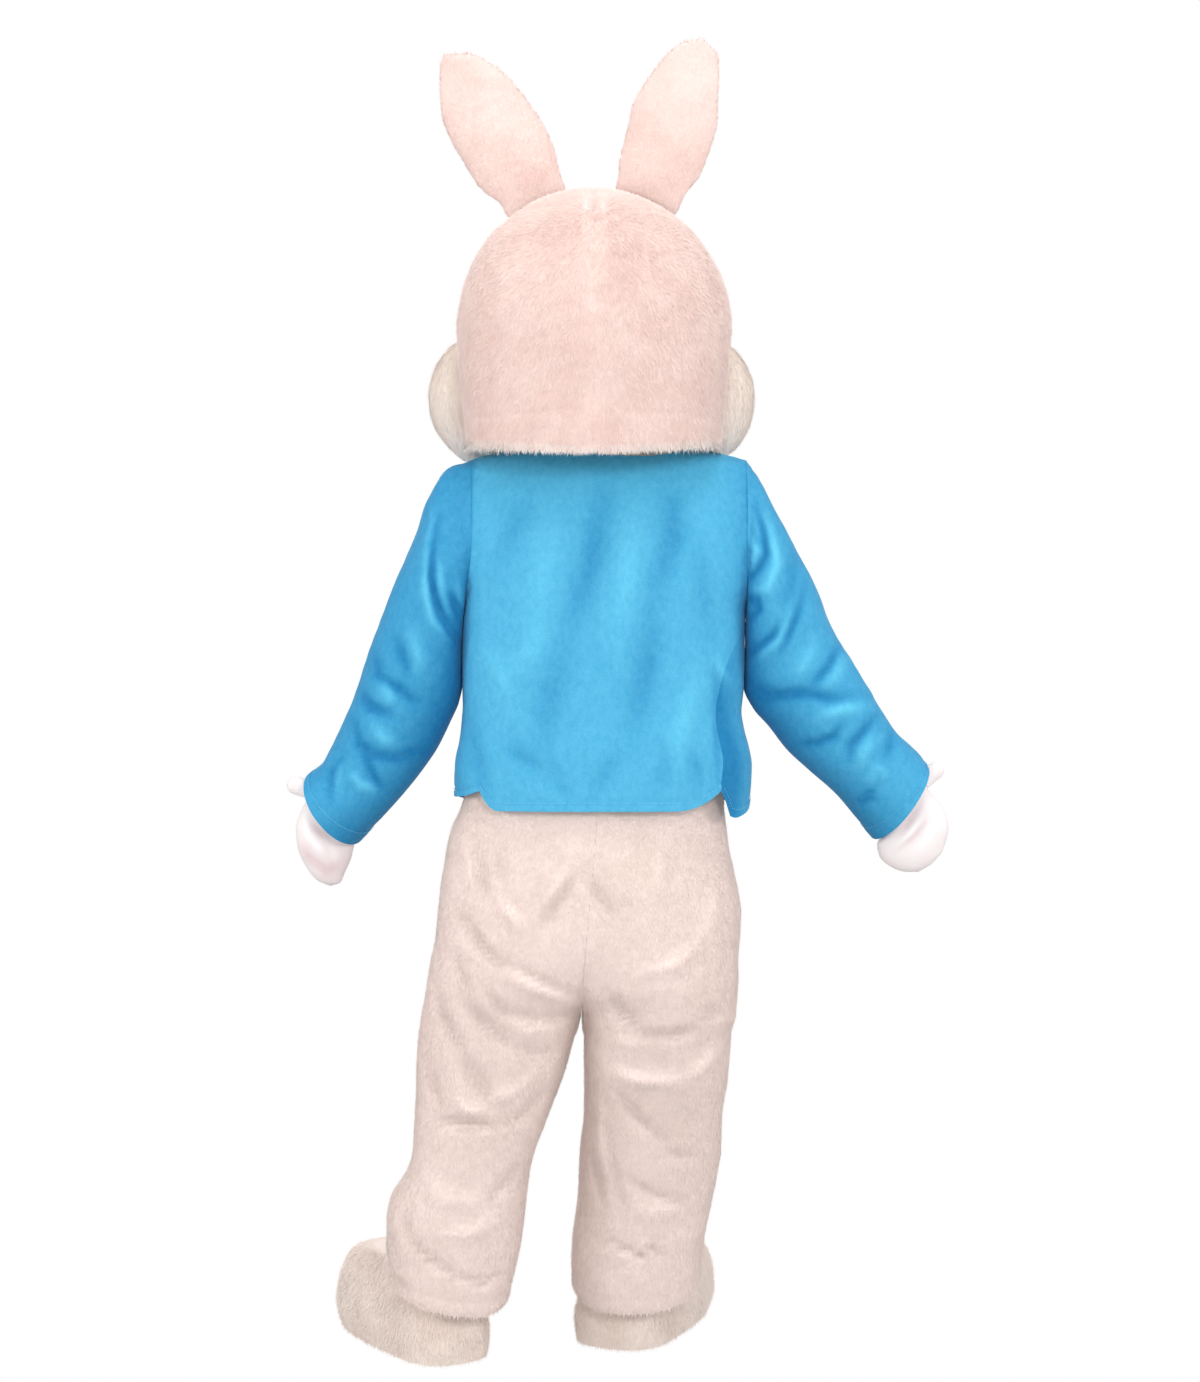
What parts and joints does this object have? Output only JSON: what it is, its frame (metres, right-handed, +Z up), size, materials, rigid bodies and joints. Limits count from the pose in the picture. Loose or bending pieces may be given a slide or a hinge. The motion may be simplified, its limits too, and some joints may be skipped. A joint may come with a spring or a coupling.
{
  "type": "rabbit mascot costume",
  "caption": "Rabbit mascot costume held up as when worn: hollow plush head with tall ears, short open jacket, plush body suit, mittens and soft shoes.",
  "frame": {"origin": "middle of the shoulders, 1.400 m above the soles, where a wearer holds the costume up", "axes": "+Z up, the costume faces -Y, and its own left side is at +X"},
  "size_m": [1.0471, 0.5918, 2.0773],
  "materials": {
    "head_plush": "short dense plush, matte",
    "cream_plush": "longer cream plush, matte",
    "pink_plush": "short pink plush, matte",
    "eye_gloss": "glossy black moulded eye",
    "blue_cloth": "brushed velour with a soft sheen",
    "white_plush": "short pinkish white plush, matte",
    "glove_cloth": "smooth white stretch cloth with a slight sheen",
    "sole_cloth": "dense grey sole felt, matte"
  },
  "bodies": {
    "root": {"cheek_left": "cream_plush", "cheek_right": "cream_plush", "ear_left_back": "head_plush", "ear_left_front": "pink_plush", "ear_right_back": "head_plush", "ear_right_front": "pink_plush", "eye_left": "eye_gloss", "eye_right": "eye_gloss", "glove_left_back": "glove_cloth", "glove_left_palm": "glove_cloth", "glove_left_thumb": "glove_cloth", "glove_right_back": "glove_cloth", "glove_right_palm": "glove_cloth", "glove_right_thumb": "glove_cloth", "head_back_left": "head_plush", "head_back_right": "head_plush", "head_face": "cream_plush", "jacket_back": "blue_cloth", "jacket_front_left": "blue_cloth", "jacket_front_right": "blue_cloth", "muzzle_left": "cream_plush", "muzzle_right": "cream_plush", "nose": "pink_plush", "shoe_left_sole": "sole_cloth", "shoe_left_upper": "white_plush", "shoe_right_sole": "sole_cloth", "shoe_right_upper": "white_plush", "sleeve_left": "blue_cloth", "sleeve_right": "blue_cloth", "suit_back_left": "white_plush", "suit_back_right": "white_plush", "suit_front_left": "white_plush", "suit_front_right": "white_plush"}
  },
  "joints": []
}
